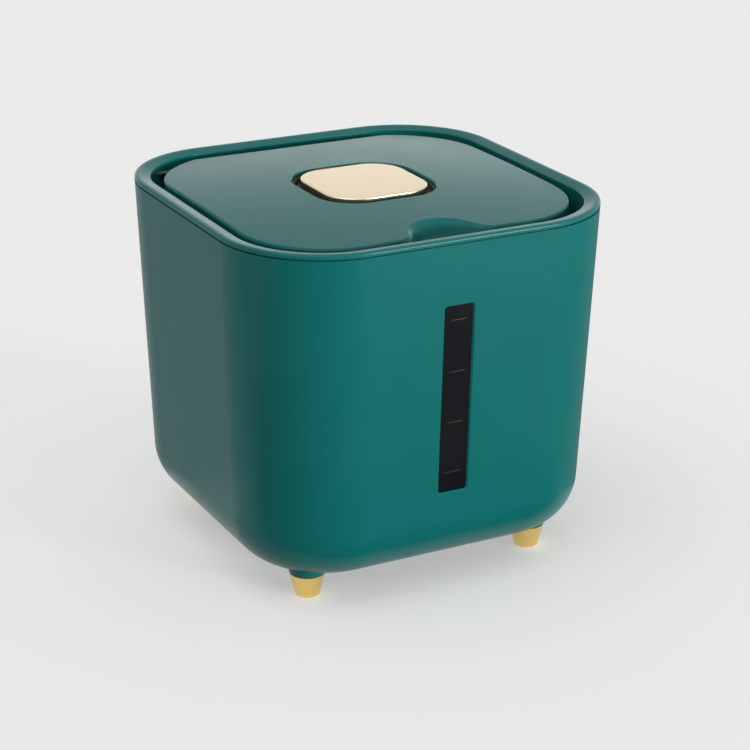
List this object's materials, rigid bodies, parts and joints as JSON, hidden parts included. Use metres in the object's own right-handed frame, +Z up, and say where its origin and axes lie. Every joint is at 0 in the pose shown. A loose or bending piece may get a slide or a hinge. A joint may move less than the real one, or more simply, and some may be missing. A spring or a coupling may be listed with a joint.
{
  "type": "rice storage box",
  "caption": "Tapered rounded-square grain box on conical feet, with a smoked level window, a rim ring and a hinged lid that a central press button unlatches.",
  "frame": {"origin": "on the floor, under the middle of the tub", "axes": "+Z up, -Y out of the front wall with the window, +X to the right seen from the front"},
  "size_m": [0.272, 0.272, 0.255],
  "materials": {
    "green_shell": "satin moulded plastic",
    "green_inner": "moulded plastic, fine grain",
    "grey_inner": "unpainted moulded plastic",
    "smoked_pane": "smoked clear plastic",
    "silicone": "soft silicone",
    "gold": "plated, polished",
    "champagne": "plated, satin",
    "steel": "zinc plated"
  },
  "bodies": {
    "tub": {"tub": "green_shell", "rim_ring": "green_shell", "window_pane": "smoked_pane", "window_seal": "silicone", "foot_front_left": "gold", "foot_front_right": "gold", "foot_rear_left": "gold", "foot_rear_right": "gold", "foot_screws": "steel"},
    "lid": {"lid_shell": "green_shell", "lid_base": "green_inner", "lid_gasket": "silicone", "lid_screws": "steel", "hinge_pin_left": "steel", "hinge_pin_right": "steel", "latch_guide": "grey_inner", "latch_guide_screws": "steel", "button_spring": "steel", "latch_spring_left": "steel", "latch_spring_right": "steel"},
    "button": {"button_cap": "champagne", "button_carrier": "grey_inner"},
    "latch": {"latch_slide": "grey_inner"}
  },
  "joints": [
    {"name": "lid_hinge", "type": "hinge", "parent": "tub", "child": "lid", "pos_m": [0, 0.11, 0.2445], "axis": [-1, 0, 0], "range_deg": [0, 90]},
    {"name": "button_press", "type": "slide", "parent": "lid", "child": "button", "axis": [0, 0, -1], "range_m": [0, 0.003], "stiffness_N_per_m": 900, "springref_m": -0.003, "deforming": ["button_spring"]},
    {"name": "latch_travel", "type": "slide", "parent": "lid", "child": "latch", "axis": [0, 1, 0], "range_m": [0, 0.003], "stiffness_N_per_m": 200, "springref_m": -0.003, "deforming": ["latch_spring_left", "latch_spring_right"]}
  ],
  "couplings": [
    {"joint": "latch_travel", "follows": "button_press", "ratio": 1}
  ]
}
